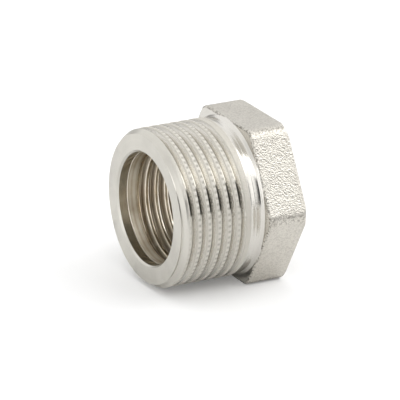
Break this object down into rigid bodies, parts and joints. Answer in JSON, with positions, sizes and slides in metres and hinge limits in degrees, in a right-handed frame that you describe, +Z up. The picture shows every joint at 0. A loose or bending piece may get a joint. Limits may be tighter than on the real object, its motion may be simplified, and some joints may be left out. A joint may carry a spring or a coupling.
{
  "type": "hex reducing bushing",
  "caption": "Reducing bushing for pipework: a hexagon for a spanner, a turned shank with an outside thread and a smaller inside thread right through.",
  "frame": {"origin": "below the middle of the length, on the surface that the bushing lies on", "axes": "+X along the bushing's axis, from the open end of the shank toward the hexagon; +Y across the corners of the hexagon; +Z up, square to the flat that it lies on"},
  "size_m": [0.022, 0.0302, 0.0268],
  "materials": {
    "plated_body": "nickel plated brass, satin shot-blasted hexagon and bright turned thread"
  },
  "bodies": {
    "root": {"hex_bushing": "plated_body"}
  },
  "joints": []
}
